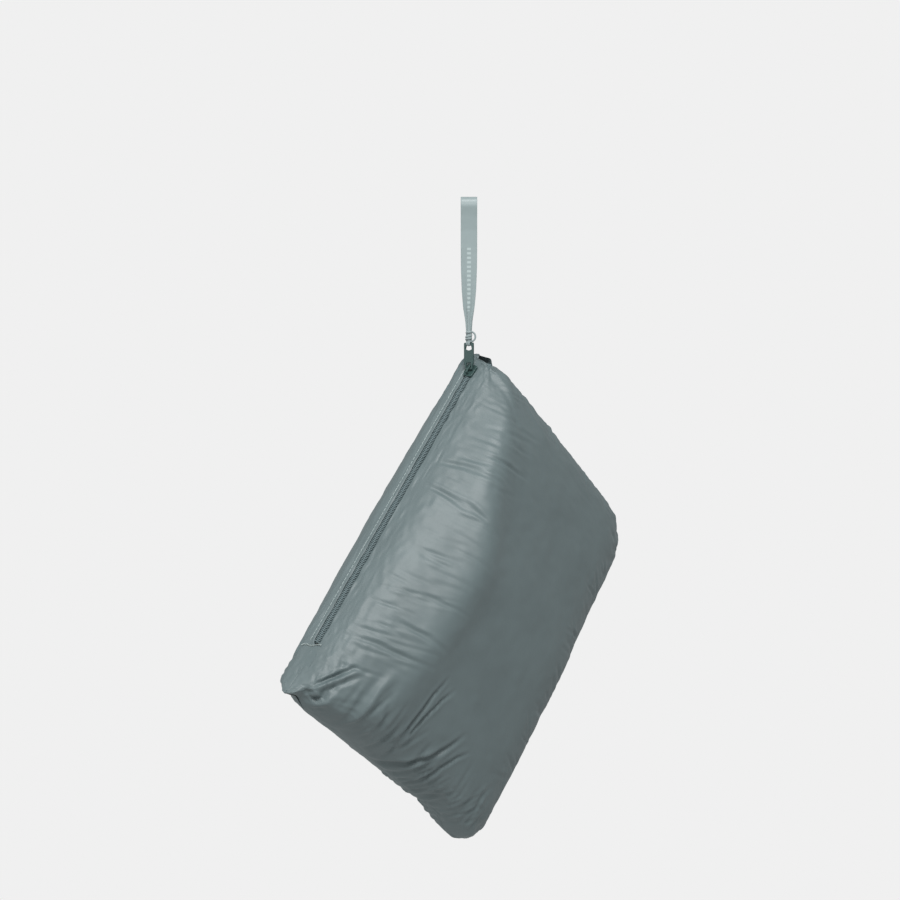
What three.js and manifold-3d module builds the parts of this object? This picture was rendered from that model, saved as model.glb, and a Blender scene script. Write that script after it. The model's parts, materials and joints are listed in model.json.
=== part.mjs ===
// A camp quilt packed in its own zipped pouch, hanging from the ribbon on the zip puller.
// Millimetres, +Z up. The origin is inside the top bend of the ribbon, where a hook or finger carries it.
import * as THREE from 'three';
import { mergeVertices } from 'three/addons/utils/BufferGeometryUtils.js';
import Module from 'manifold-3d';

// ---- the packed pouch -------------------------------------------------------------------------
const pouchLength = 271;          // along the zip
const pouchWidth = 184;           // from the zip edge to the far seam
const crownHeight = 50;           // from the middle plane to the top of either panel
const topEndRise = 19;            // from the closed slider up to the pouch's top end
const farEdgePull = 6;            // how far the far seam pulls in at its middle
const endPull = 5;                // how far each end seam pulls in at its middle
const panelWall = 0.8;            // shell fabric with its face quilt layer
const seamGap = 0.4;              // between the two panels where they are sewn
const crownPower = 1.2;           // how blunt the panels meet their seams

// ---- how it hangs -----------------------------------------------------------------------------
const hangLean = THREE.MathUtils.degToRad(37.2);   // the zip leans this far from plumb
const hangTurn = THREE.MathUtils.degToRad(42.3);   // the pouch is turned this far about the plumb line
const zipTurn = THREE.MathUtils.degToRad(20);      // the zip faces this far towards the front panel

// ---- the zip ----------------------------------------------------------------------------------
const bottomEndLength = 33;       // from the bottom bartack to the pouch's bottom end
const tapeThickness = 0.5;
const tapeReach = 11;             // from the middle of the zip to a tape's outer edge
const tapeSplit = 1.5;            // from the middle of the zip to a tape's inner edge
const tapeTopEnd = 10;            // tape above the closed slider
const tapeBottomEnd = 8;          // tape below the bartack
const coilReach = 2.1;            // from the middle of the zip to the back of a coil
const coilHeight = 1.6;
const coilPitch = 3;
const coilMesh = 0.9;             // how far a tooth reaches past the middle of the zip
const coilTopEnd = 1;             // the coils stop this far below the slider's centre
const stopLength = 3;
const stopWidth = 0.9;
const stopHeight = 1.4;
const fabricEdge = 4.5;           // from the middle of the zip to the folded fabric edge
const stitchSetback = 2;          // from the fabric edge to the topstitching
const threadWidth = 0.5;
const bartackReach = 9;
const bartackWidth = 0.9;
const facingTail = 9;             // the end facings stop this far from the pouch's ends
const stripClose = 5;             // the flat strip closes to the end seam over this length

// ---- slider, crown and puller -----------------------------------------------------------------
const sliderLength = 9.4;
const sliderNoseWidth = 7.6;
const sliderTailWidth = 6.4;
const sliderPlate = 0.9;
const flangeWall = 0.9;
const wedgeWidth = 2;
const wedgeLength = 3.4;
const crownWidth = 1.4;
const crownBar = 0.9;
const crownInside = 2.3;          // clear height under the crown
const crownSpan = 5.4;            // clear length under the crown
const pullWidth = 7.4;
const pullThickness = 1.2;
const pullLength = 17.6;          // from the hinge bar to the top of the puller
const pullBar = 1.1;              // the bar that lies under the crown
const pullWindowWidth = 3.4;
const pullWindowLength = 4;
const pullShoulder = 2.2;         // where the puller widens above its window
const pullTopBar = 1.4;
const pullHoleTop = 3.8;
const pullHoleBottom = 4.8;
const pullHoleHeight = 3.5;
const pullCorner = 1.1;

// ---- the ribbon -------------------------------------------------------------------------------
const ribbonWidth = 11;
const ribbonPly = 0.5;
const ribbonLength = 98;          // from the top bend to the puller's top bar
const ribbonNeckWidth = 3;        // gathered where it passes the puller's hole
const ribbonNeckPly = 0.9;
const ribbonPlyGap = 0.5;
const ribbonSlack = 0.25;         // extra room round the puller's top bar
const hangEyeWidth = 7;           // the open eye at the top bend
const hangEyeLength = 22;
const ribbonGatherLength = 34;

// ---- the quilt inside -------------------------------------------------------------------------
const quiltLayers = 6;
const quiltFill = 11;
const quiltFabric = 0.6;
const quiltPlySpace = 0.3;
const quiltLayerSpace = 0.9;
const quiltInset = 7;             // the folds stop this far inside the pouch's panels
const quiltSpace = 1.7;           // between the pressed quilt and the panels
const quiltEndSpace = 9;
const bindingThickness = 1;
const bindingOverhang = 0.5;

// ---- clearances -------------------------------------------------------------------------------
const seatGap = 0.3;              // between pieces that touch on the real thing
const clothLift = 0.4;            // how far the shell fabric lies above the tapes
const runGap = 0.35;              // between the slider and what runs through it

const zipLength = pouchLength - topEndRise - bottomEndLength;   // closed slider to bartack
const fabricTop = tapeThickness / 2 + clothLift + panelWall;
const coilBase = tapeThickness / 2 + seatGap;
const chainTop = coilBase + coilHeight;
const plateBase = chainTop + runGap;
const plateTop = plateBase + sliderPlate;
const hingeHeight = plateTop + seatGap + crownInside / 2;
const threadHeight = 0.4;
const zipDepth = fabricTop + tapeThickness / 2 + threadHeight + 2 * seatGap;
const quiltPitch = quiltFill + 2 * (quiltPlySpace + quiltFabric) + quiltLayerSpace;

const wasm = await Module();
wasm.setup();

// ---- helpers ----------------------------------------------------------------------------------
function material(color, roughness, metalness = 0) {
  return new THREE.MeshStandardMaterial({ color, roughness, metalness });
}

const shellFabric = material(0x74888a, 0.42);
const tapeCloth = material(0x62767a, 0.85);
const coilNylon = material(0x5b6e70, 0.5);
const sliderPaint = material(0x48605f, 0.45, 0.2);
const ribbonSatin = material(0x9db0b0, 0.4);
const paleThread = material(0xb9c6c4, 0.8);
const shellThread = material(0x6d8082, 0.8);
const batting = material(0xe8e8e4, 0.95);

function named(name, geometry, finish, parent) {
  const mesh = new THREE.Mesh(geometry, finish);
  mesh.name = name;
  parent.add(mesh);
  return mesh;
}

function weld(geometry) {
  geometry.deleteAttribute('normal');
  geometry.deleteAttribute('uv');
  return mergeVertices(geometry, 1e-4);
}

function toSolid(geometry) {
  const welded = weld(geometry.index ? geometry.clone() : mergeVertices(geometry));
  const vertProperties = new Float32Array(welded.attributes.position.array);
  const triVerts = new Uint32Array(welded.index.array);
  return new wasm.Manifold(new wasm.Mesh({ numProp: 3, vertProperties, triVerts }));
}

function fromSolid(solid) {
  const result = solid.getMesh();
  const geometry = new THREE.BufferGeometry();
  geometry.setAttribute('position', new THREE.BufferAttribute(new Float32Array(result.vertProperties), 3));
  geometry.setIndex(new THREE.BufferAttribute(new Uint32Array(result.triVerts), 1));
  geometry.computeVertexNormals();
  return geometry;
}

// A block given by its lowest and highest corners.
function block(low, high) {
  const size = high.map((value, axis) => value - low[axis]);
  const middle = high.map((value, axis) => (value + low[axis]) / 2);
  return new THREE.BoxGeometry(...size).translate(...middle);
}

function extruded(shape, depth, curveSegments = 4) {
  return new THREE.ExtrudeGeometry(shape, { depth, bevelEnabled: false, curveSegments });
}

function remapped(geometry, place) {
  const positions = geometry.attributes.position;
  for (let i = 0; i < positions.count; i += 1) {
    const moved = place(positions.getX(i), positions.getY(i), positions.getZ(i));
    positions.setXYZ(i, ...moved);
  }
  return weld(geometry);
}

// ---- the crowned form of the pouch -------------------------------------------------------------
// side is +1 for the front and -1 for the back. across and along run from 0 to 1, from the zip to
// the far seam and from the top end to the bottom end. inset shrinks the whole form evenly, and
// stripSink lowers its flat strip under the zip.
const stripBend = tapeReach + 1;
const stripShare = 0.125;
const acrossSteps = 16;
const alongSteps = 18;

function pouchPoint(side, across, along, inset, stripSink = 0) {
  const endTurn = along * Math.PI;
  const endFullness = Math.sin(endTurn) ** 0.8;
  const endDistance = (pouchLength / 2) * (1 - Math.abs(Math.cos(endTurn)));
  const stripFullness = Math.min(1, Math.sqrt(endDistance / stripClose));
  const stripLevel = fabricTop - inset - stripSink;
  const reach = across < stripShare
    ? THREE.MathUtils.lerp(fabricEdge, stripBend, across / stripShare)
    : stripBend;
  const stripX = side * reach * stripFullness * Math.sin(zipTurn) - stripLevel * Math.cos(zipTurn);
  const stripH = reach * Math.cos(zipTurn) + side * stripLevel * Math.sin(zipTurn);
  const turn = across < stripShare ? 0 : Math.PI * (across - stripShare) / (1 - stripShare);
  const farEdge = pouchWidth - inset - farEdgePull * Math.sin(endTurn);
  const x = stripX + (farEdge - stripX) * (1 - Math.cos(turn)) / 2;
  const crown = (crownHeight - inset - stripH / 2) * Math.sin(turn) ** crownPower * endFullness;
  const h = stripFullness * (stripH * (1 + Math.cos(turn)) / 2 + crown);
  const halfLength = pouchLength / 2 - inset - endPull * Math.sin(turn);
  const z = topEndRise - pouchLength / 2 + halfLength * Math.cos(endTurn);
  return [x, -side * (h + seamGap / 2), z];
}

function panelGeometry(side) {
  const slab = new THREE.BoxGeometry(1, 1, 1, acrossSteps, alongSteps, 1);
  return remapped(slab, (x, y, z) => {
    const across = side > 0 ? x + 0.5 : 0.5 - x;
    return pouchPoint(side, across, 0.5 - y, z > 0 ? 0 : panelWall);
  });
}

// The space inside the pouch, clear of its panels and zip: the form the quilt is pressed into.
function pouchInside() {
  const slab = new THREE.BoxGeometry(1, 1, 1, acrossSteps, alongSteps, 1);
  return remapped(slab, (x, y, z) => (
    pouchPoint(z > 0 ? 1 : -1, x + 0.5, 0.5 - y, panelWall + quiltSpace, zipDepth)
  ));
}

// ---- the quilt, folded back and forth -----------------------------------------------------------
const quiltSide = quiltFill / 2 + quiltPlySpace + quiltFabric;

// How far across the pouch there is room at a height above or below its middle plane.
function roomAcross(height) {
  const samples = 120;
  const fits = [];
  for (let i = 0; i <= samples; i += 1) {
    const [x, y] = pouchPoint(1, i / samples, 0.5, panelWall);
    if (Math.abs(y) > height) {
      fits.push(x);
    }
  }
  return [Math.min(...fits) + quiltInset, Math.max(...fits) - quiltInset];
}

// The middle line of the folded quilt: straight layers joined by half-round folds.
function quiltPath() {
  const path = [];
  const foldSteps = 6;
  const foldRadius = quiltPitch / 2;
  const levelOf = (layer) => (layer - (quiltLayers - 1) / 2) * quiltPitch;
  const [firstStart] = roomAcross(Math.abs(levelOf(0)) + quiltSide);
  path.push(new THREE.Vector2(firstStart, levelOf(0)));
  for (let layer = 0; layer < quiltLayers - 1; layer += 1) {
    const way = layer % 2 === 0 ? 1 : -1;
    const tallest = Math.max(Math.abs(levelOf(layer)), Math.abs(levelOf(layer + 1))) + quiltSide;
    const room = roomAcross(tallest);
    const foldX = (way > 0 ? room[1] : room[0]) - way * foldRadius;
    for (let step = 0; step <= foldSteps; step += 1) {
      const angle = Math.PI * (step / foldSteps - 0.5);
      path.push(new THREE.Vector2(
        foldX + way * Math.cos(angle) * foldRadius,
        levelOf(layer) + foldRadius + Math.sin(angle) * foldRadius,
      ));
    }
  }
  const lastRoom = roomAcross(levelOf(quiltLayers - 1) + quiltSide);
  const lastWay = (quiltLayers - 1) % 2 === 0 ? 1 : 0;
  path.push(new THREE.Vector2(lastRoom[lastWay], levelOf(quiltLayers - 1)));
  return path;
}

// The outline of a layer that keeps its distance from a path: from inner to outer, left of its way.
function bandShape(path, inner, outer) {
  const offset = (distance) => path.map((point, i) => {
    const before = path[Math.max(0, i - 1)];
    const after = path[Math.min(path.length - 1, i + 1)];
    const way = after.clone().sub(before).normalize();
    return new THREE.Vector2(point.x - way.y * distance, point.y + way.x * distance);
  });
  return new THREE.Shape([...offset(inner), ...offset(outer).reverse()]);
}

function pressedInto(core, shape) {
  const geometry = extruded(shape, pouchLength - 2 * quiltEndSpace);
  geometry.rotateX(Math.PI);
  geometry.translate(0, 0, topEndRise - quiltEndSpace);
  const solid = toSolid(geometry);
  return fromSolid(solid.intersect(core));
}

// A strip that closes the quilt's edge across all its plies, at either end of its path.
function addBinding(name, end, beyond, core, parent) {
  const way = Math.sign(end.x - beyond.x);
  const near = end.x + way * seatGap;
  const half = quiltSide + bindingOverhang / 2;
  const strip = new THREE.Shape([
    new THREE.Vector2(near, end.y - half),
    new THREE.Vector2(near + way * bindingThickness, end.y - half),
    new THREE.Vector2(near + way * bindingThickness, end.y + half),
    new THREE.Vector2(near, end.y + half),
  ]);
  named(name, pressedInto(core, strip), shellFabric, parent);
}

function addQuilt(parent) {
  const core = toSolid(pouchInside());
  const path = quiltPath();
  const fillHalf = quiltFill / 2;
  const plyInner = fillHalf + quiltPlySpace;
  named('quilt_fill', pressedInto(core, bandShape(path, -fillHalf, fillHalf)), batting, parent);
  named('quilt_face_fabric', pressedInto(core, bandShape(path, plyInner, quiltSide)), shellFabric, parent);
  named('quilt_lining', pressedInto(core, bandShape(path, -quiltSide, -plyInner)), shellFabric, parent);
  addBinding('quilt_binding_start', path[0], path[1], core, parent);
  addBinding('quilt_binding_end', path.at(-1), path.at(-2), core, parent);
}

// ---- the zip, in its own frame: x outward, y towards the front panel, z up along the zip ----------
function addTape(name, side, parent) {
  const tape = block(
    [-tapeThickness / 2, Math.min(side * tapeSplit, side * tapeReach), -zipLength - tapeBottomEnd],
    [tapeThickness / 2, Math.max(side * tapeSplit, side * tapeReach), tapeTopEnd],
  );
  named(name, tape, tapeCloth, parent);
}

// One row of the coil: a spine with teeth that reach between the teeth of the other row.
function addCoil(name, side, phase, parent) {
  const spineReach = coilMesh + seatGap;
  const tooth = coilPitch / 2 - seatGap;
  const bottom = -zipLength + coilPitch;
  const outline = new THREE.Shape();
  outline.moveTo(side * coilReach, bottom);
  outline.lineTo(side * spineReach, bottom);
  const count = Math.floor((-coilTopEnd - bottom) / coilPitch);
  for (let turn = 0; turn < count; turn += 1) {
    const start = bottom + (turn + phase) * coilPitch + seatGap / 2;
    outline.lineTo(side * spineReach, start);
    outline.lineTo(-side * coilMesh, start);
    outline.lineTo(-side * coilMesh, start + tooth);
    outline.lineTo(side * spineReach, start + tooth);
  }
  const top = bottom + (count + 0.5) * coilPitch;
  outline.lineTo(side * spineReach, top);
  outline.lineTo(side * coilReach, top);
  const geometry = extruded(outline, coilHeight);
  const standing = remapped(geometry, (y, z, height) => [coilBase + height, y, z]);
  named(name, standing, coilNylon, parent);
}

function addTopStop(name, side, parent) {
  const inner = side * (wedgeWidth / 2 + clothLift);
  const outer = inner + side * stopWidth;
  const base = stopLength / 2;
  named(name, block(
    [coilBase, Math.min(inner, outer), base],
    [coilBase + stopHeight, Math.max(inner, outer), base + stopLength],
  ), coilNylon, parent);
}

// A thread line or a fabric strip lying flat over the zip.
function addStrip(name, finish, base, height, yRange, zRange, parent) {
  const low = [base, Math.min(...yRange), Math.min(...zRange)];
  const high = [base + height, Math.max(...yRange), Math.max(...zRange)];
  named(name, block(low, high), finish, parent);
}

function addSewing(parent) {
  const threadBase = fabricTop + seatGap;
  const stitchInner = fabricEdge + stitchSetback;
  const stitchLine = [stitchInner, stitchInner + threadWidth];
  const backLine = stitchLine.map((y) => -y);
  const underside = -tapeThickness / 2 - seatGap - threadHeight;
  const runOfStitch = [-zipLength + bartackWidth + 1, tapeTopEnd - 1];
  addStrip('back_topstitch', paleThread, threadBase, threadHeight, backLine, runOfStitch, parent);
  addStrip('front_tape_stitch', shellThread, underside, threadHeight, stitchLine, runOfStitch, parent);
  const tackTop = -zipLength + bartackWidth / 2;
  const tackRun = [tackTop - bartackWidth, tackTop];
  const tackReach = [-bartackReach, bartackReach];
  addStrip('bottom_bartack', paleThread, threadBase, threadHeight, tackReach, tackRun, parent);
  const facingReach = [seatGap - fabricEdge, fabricEdge - seatGap];
  const facingBase = fabricTop - panelWall;
  const bottomRun = [tackTop - 2 * seatGap, topEndRise - pouchLength + facingTail];
  addStrip('bottom_end_facing', shellFabric, facingBase, panelWall, facingReach, bottomRun, parent);
  const topRun = [sliderLength / 2 + 2 * seatGap, topEndRise - facingTail];
  addStrip('top_end_facing', shellFabric, facingBase, panelWall, facingReach, topRun, parent);
}

function addZip(parent) {
  addTape('front_zip_tape', 1, parent);
  addTape('back_zip_tape', -1, parent);
  addCoil('front_coil', 1, 0, parent);
  addCoil('back_coil', -1, 0.5, parent);
  addTopStop('front_top_stop', 1, parent);
  addTopStop('back_top_stop', -1, parent);
  addSewing(parent);
}

// ---- the slider, in the zip's frame --------------------------------------------------------------
function sliderOutline() {
  const half = sliderLength / 2;
  const nose = sliderNoseWidth / 2;
  const tail = sliderTailWidth / 2;
  const corner = 1.2;
  const outline = new THREE.Shape();
  outline.moveTo(-tail + corner, -half);
  outline.lineTo(tail - corner, -half);
  outline.quadraticCurveTo(tail, -half, tail, -half + corner);
  outline.lineTo(nose, half - corner);
  outline.quadraticCurveTo(nose, half, nose - corner, half);
  outline.lineTo(-nose + corner, half);
  outline.quadraticCurveTo(-nose, half, -nose, half - corner);
  outline.lineTo(-tail, -half + corner);
  outline.quadraticCurveTo(-tail, -half, -tail + corner, -half);
  return outline;
}

// The channel between the flanges, which widens towards the nose as the outline does.
function boreOutline() {
  const beyond = sliderLength / 2 + 1;
  const nose = sliderNoseWidth / 2 - flangeWall;
  const tail = sliderTailWidth / 2 - flangeWall;
  return new THREE.Shape([
    new THREE.Vector2(-tail, -beyond),
    new THREE.Vector2(tail, -beyond),
    new THREE.Vector2(nose, beyond),
    new THREE.Vector2(-nose, beyond),
  ]);
}

function wedgeOutline() {
  const nose = sliderLength / 2;
  const half = wedgeWidth / 2;
  const outline = new THREE.Shape();
  outline.moveTo(0, nose - wedgeLength);
  outline.lineTo(half, nose - wedgeLength / 2);
  outline.lineTo(half * 0.8, nose - seatGap);
  outline.lineTo(-half * 0.8, nose - seatGap);
  outline.lineTo(-half, nose - wedgeLength / 2);
  outline.closePath();
  return outline;
}

// Turns an extrusion drawn in the plane of the tape so that its depth points outward.
function raised(geometry, base) {
  return remapped(geometry, (y, z, height) => [base + height, y, z]);
}

function addSliderBody(parent) {
  const lowBase = -tapeThickness / 2 - runGap - sliderPlate;
  const plates = toSolid(raised(extruded(sliderOutline(), sliderPlate), plateBase))
    .add(toSolid(raised(extruded(sliderOutline(), sliderPlate), lowBase)));
  const wedgeHeight = plateTop - lowBase - sliderPlate;
  const wedge = toSolid(raised(extruded(wedgeOutline(), wedgeHeight), lowBase + sliderPlate / 2));
  const flangeBase = tapeThickness / 2 + runGap;
  const rim = toSolid(raised(extruded(sliderOutline(), plateTop - flangeBase - sliderPlate / 2), flangeBase));
  const bore = raised(extruded(boreOutline(), plateBase - flangeBase + 1), flangeBase - 1);
  const flanges = rim.subtract(toSolid(bore));
  named('slider_body', fromSolid(plates.add(wedge).add(flanges)), sliderPaint, parent);
}

function addSliderCrown(parent) {
  const outerHalf = crownSpan / 2 + crownBar;
  const innerHalf = crownSpan / 2;
  const outerTop = crownInside + crownBar;
  const arch = new THREE.Shape();
  const shoulder = 1.1;
  arch.moveTo(-outerHalf, 0);
  arch.lineTo(-outerHalf, outerTop - shoulder);
  arch.quadraticCurveTo(-outerHalf, outerTop, -outerHalf + shoulder, outerTop);
  arch.lineTo(outerHalf - shoulder, outerTop);
  arch.quadraticCurveTo(outerHalf, outerTop, outerHalf, outerTop - shoulder);
  arch.lineTo(outerHalf, 0);
  arch.lineTo(innerHalf, 0);
  arch.lineTo(innerHalf, crownInside - shoulder / 2);
  arch.quadraticCurveTo(innerHalf, crownInside, innerHalf - shoulder / 2, crownInside);
  arch.lineTo(-innerHalf + shoulder / 2, crownInside);
  arch.quadraticCurveTo(-innerHalf, crownInside, -innerHalf, crownInside - shoulder / 2);
  arch.lineTo(-innerHalf, 0);
  arch.closePath();
  const geometry = remapped(extruded(arch, crownWidth), (z, height, across) => (
    [plateTop + seatGap + height, across - crownWidth / 2, z]
  ));
  named('slider_crown', geometry, sliderPaint, parent);
}

// ---- the puller: x across, z up from its hinge bar ------------------------------------------------
function addPuller(parent) {
  const half = pullWidth / 2;
  const neck = pullWindowWidth / 2 + pullBar;
  const bottom = -pullBar / 2;
  const top = pullLength;
  const outline = new THREE.Shape();
  outline.moveTo(-neck, bottom);
  outline.lineTo(neck, bottom);
  outline.lineTo(neck, pullShoulder);
  outline.quadraticCurveTo(half, pullShoulder + 0.6, half, pullWindowLength);
  outline.lineTo(half, top - pullCorner);
  outline.quadraticCurveTo(half, top, half - pullCorner, top);
  outline.lineTo(-half + pullCorner, top);
  outline.quadraticCurveTo(-half, top, -half, top - pullCorner);
  outline.lineTo(-half, pullWindowLength);
  outline.quadraticCurveTo(-half, pullShoulder + 0.6, -neck, pullShoulder);
  outline.closePath();
  const window = new THREE.Path();
  window.moveTo(-pullWindowWidth / 2, pullBar / 2);
  window.lineTo(-pullWindowWidth / 2, pullWindowLength);
  window.lineTo(pullWindowWidth / 2, pullWindowLength);
  window.lineTo(pullWindowWidth / 2, pullBar / 2);
  window.closePath();
  const hole = new THREE.Path();
  const holeTop = top - pullTopBar;
  hole.moveTo(-pullHoleTop / 2, holeTop);
  hole.lineTo(pullHoleTop / 2, holeTop);
  hole.lineTo(pullHoleBottom / 2, holeTop - pullHoleHeight);
  hole.lineTo(-pullHoleBottom / 2, holeTop - pullHoleHeight);
  hole.closePath();
  outline.holes.push(window, hole);
  const geometry = remapped(extruded(outline, pullThickness), (x, z, depth) => (
    [x, pullThickness / 2 - depth, z]
  ));
  named('zip_puller', geometry, sliderPaint, parent);
}

// ---- the ribbon: one band from its top bend down to the puller's top bar and back up ----------------
// It is drawn edge on (depth y, height z), then given its width, which gathers towards the puller.
function ribbonOutline() {
  const eyeHalf = hangEyeWidth / 2 + ribbonPly / 2;
  const plyHalf = (ribbonPlyGap + ribbonPly) / 2;
  const ringHalf = pullTopBar / 2 + runGap + ribbonNeckPly / 2 + ribbonSlack;
  const barCentre = -ribbonLength - pullTopBar / 2;
  const half = [
    [0, ribbonPly / 2],
    [eyeHalf * 0.6, -1.1],
    [eyeHalf, -hangEyeLength * 0.25],
    [eyeHalf * 0.66, -hangEyeLength * 0.6],
    [plyHalf + 0.5, -hangEyeLength * 0.88],
    [plyHalf + 0.1, -hangEyeLength * 1.08],
    [plyHalf, -hangEyeLength * 1.35],
    [plyHalf, -hangEyeLength * 2],
    [plyHalf, -ribbonLength + ribbonGatherLength],
    [plyHalf + 0.1, -ribbonLength + ribbonGatherLength / 2],
    [plyHalf + 0.25, -ribbonLength + 6],
    [ringHalf * 0.8, barCentre + ringHalf],
    [ringHalf, barCentre],
    [ringHalf * 0.7, barCentre - ringHalf * 0.75],
    [0, barCentre - ringHalf],
  ];
  const mirrored = half.slice(1, -1).reverse().map(([y, z]) => [-y, z]);
  const loop = [...half, ...mirrored].map(([y, z]) => new THREE.Vector3(y, z, 0));
  const curve = new THREE.CatmullRomCurve3(loop, true, 'centripetal');
  const steps = 72;
  const edge = (side) => {
    const points = [];
    for (let i = 0; i < steps; i += 1) {
      const at = curve.getPoint(i / steps);
      const way = curve.getTangent(i / steps);
      const ply = THREE.MathUtils.lerp(ribbonPly, ribbonNeckPly, gathered(at.y));
      points.push(new THREE.Vector2(at.x + side * way.y * ply / 2, at.y - side * way.x * ply / 2));
    }
    return points;
  };
  const shape = new THREE.Shape(edge(-1));
  shape.holes.push(new THREE.Path(edge(1).reverse()));
  return shape;
}

// 0 on the flat ribbon, 1 where it is gathered at the puller.
function gathered(z) {
  return THREE.MathUtils.smoothstep(-z, ribbonLength - ribbonGatherLength, ribbonLength - 3);
}

function addRibbon(parent, neckTurn) {
  const flat = extruded(ribbonOutline(), 1);
  const geometry = remapped(flat, (y, z, across) => {
    const gather = gathered(z);
    const x = (across - 0.5) * THREE.MathUtils.lerp(ribbonWidth, ribbonNeckWidth, gather);
    const turn = neckTurn * gather;
    return [x * Math.cos(turn) - y * Math.sin(turn), x * Math.sin(turn) + y * Math.cos(turn), z];
  });
  named('hang_ribbon', geometry, ribbonSatin, parent);
}

// ---- placing ------------------------------------------------------------------------------------
const pouch = new THREE.Group();
named('front_panel', panelGeometry(1), shellFabric, pouch);
named('back_panel', panelGeometry(-1), shellFabric, pouch);
addQuilt(pouch);

const zip = new THREE.Group();
zip.rotation.z = Math.PI + zipTurn;
addZip(zip);
addSliderBody(zip);
addSliderCrown(zip);
pouch.add(zip);

const camp = new THREE.Group();
const hinge = new THREE.Vector3(hingeHeight, 0, 0).applyEuler(zip.rotation);
pouch.rotation.set(0, hangLean, hangTurn, 'ZYX');
const hingeDrop = ribbonLength + pullLength;
pouch.position.copy(hinge.applyEuler(pouch.rotation).negate());
pouch.position.z -= hingeDrop;
camp.add(pouch);

// The puller and the ribbon's neck share the level direction that the slider's width points in.
const acrossZip = new THREE.Vector3(0, 1, 0).applyEuler(zip.rotation).applyEuler(pouch.rotation);
const pullerTurn = Math.atan2(acrossZip.y, acrossZip.x);
const puller = new THREE.Group();
puller.position.z = -hingeDrop;
puller.rotation.z = pullerTurn;
addPuller(puller);
camp.add(puller);
addRibbon(camp, pullerTurn);

export default camp;
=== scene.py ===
"""A camp quilt packed in its zipped pouch, dressed for rendering. Metres, +Z up."""

import json
import math

import bmesh
import bpy
import numpy as np
from mathutils import Matrix, Vector


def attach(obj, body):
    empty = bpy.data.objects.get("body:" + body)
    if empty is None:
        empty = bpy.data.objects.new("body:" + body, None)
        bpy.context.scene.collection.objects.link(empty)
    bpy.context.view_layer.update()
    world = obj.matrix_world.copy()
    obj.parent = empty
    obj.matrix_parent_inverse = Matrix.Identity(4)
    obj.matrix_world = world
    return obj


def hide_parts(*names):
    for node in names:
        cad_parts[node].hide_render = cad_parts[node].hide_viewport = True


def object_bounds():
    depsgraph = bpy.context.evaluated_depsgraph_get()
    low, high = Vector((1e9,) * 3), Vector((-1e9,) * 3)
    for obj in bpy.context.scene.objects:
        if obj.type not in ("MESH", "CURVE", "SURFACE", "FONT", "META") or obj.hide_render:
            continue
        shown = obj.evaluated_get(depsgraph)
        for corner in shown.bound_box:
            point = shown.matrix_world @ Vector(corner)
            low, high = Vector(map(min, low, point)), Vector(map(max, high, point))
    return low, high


bl_info = {
    "name": "Packed camp quilt",
    "version": (1, 0, 0),
    "blender": (4, 5, 0),
    "location": "3D View > Sidebar > Quilt",
    "description": "Builds the fabric, zip, slider and ribbon of a packed camp quilt",
    "category": "Object",
}

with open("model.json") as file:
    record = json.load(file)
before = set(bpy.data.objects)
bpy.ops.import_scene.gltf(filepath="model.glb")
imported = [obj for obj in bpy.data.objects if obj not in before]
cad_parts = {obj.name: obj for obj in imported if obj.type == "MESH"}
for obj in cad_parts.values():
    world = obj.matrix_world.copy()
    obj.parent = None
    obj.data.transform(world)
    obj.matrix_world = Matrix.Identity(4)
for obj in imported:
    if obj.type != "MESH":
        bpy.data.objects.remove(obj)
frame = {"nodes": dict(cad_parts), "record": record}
CAD_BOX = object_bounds()
JOINTS = {joint["name"]: joint for joint in frame["record"]["behaviour"]["joints"]}
MM = 0.001


# ---- where the pouch and its zip lie ----------------------------------------
# Pouch frame: x from the zip to the far seam, y from the front panel to the back, z up the zip.
# Zip frame: x out of the pouch, y towards the front panel, z up the zip.
ZIP_TURN = math.radians(20)
HINGE_HEIGHT = 4.85 * MM


def pouch_frames():
    up = Vector(JOINTS["zip_travel"]["axis"]).normalized()
    lean = math.acos(up.z)
    turn = math.atan2(up.y, up.x)
    pouch = (Matrix.Rotation(turn, 3, "Z") @ Matrix.Rotation(lean, 3, "Y")).to_4x4()
    zip_frame = pouch @ Matrix.Rotation(math.pi + ZIP_TURN, 4, "Z")
    hinge = Vector(JOINTS["puller_swing"]["pos_m"])
    origin = hinge - zip_frame.to_3x3() @ Vector((HINGE_HEIGHT, 0, 0))
    place = Matrix.Translation(origin)
    return place @ pouch, place @ zip_frame


POUCH_FRAME, ZIP_FRAME = pouch_frames()


# ---- the sewn form, in millimetres, as the solid panels have it -------------
POUCH_LENGTH = 271
POUCH_WIDTH = 184
CROWN_HEIGHT = 50
TOP_RISE = 19
FAR_PULL = 6
END_PULL = 5
CROWN_POWER = 1.2
ZIP_LENGTH = 219
FABRIC_TOP = 1.45
STRIP_BEND = 12
STRIP_SHARE = 0.125
STRIP_CLOSE = 5
ROWS = 92
COLUMNS = 64
FRONT_EDGE = 2.0
BACK_EDGE = 2.8
CLOSED_EDGE = 0.12
FAR_SLUMP = 12
LOW_SLUMP = 3.5
# Where each far corner is blunted: way along z, reach of the diagonal, softness.
BLUNT_CORNERS = ((1, 124, 5), (-1, 306.5, 3))


def smooth_step(value, low, high):
    t = np.clip((value - low) / (high - low), 0, 1)
    return t * t * (3 - 2 * t)


def fabric_edge(side, drop):
    """How far the folded fabric edge lies from the middle of the zip, at a drop down the zip."""
    open_edge = FRONT_EDGE if side > 0 else BACK_EDGE
    closing = smooth_step(drop, ZIP_LENGTH - 3, ZIP_LENGTH + 1) + smooth_step(-drop, 3, 9)
    return open_edge + (CLOSED_EDGE - open_edge) * np.clip(closing, 0, 1)


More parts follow.
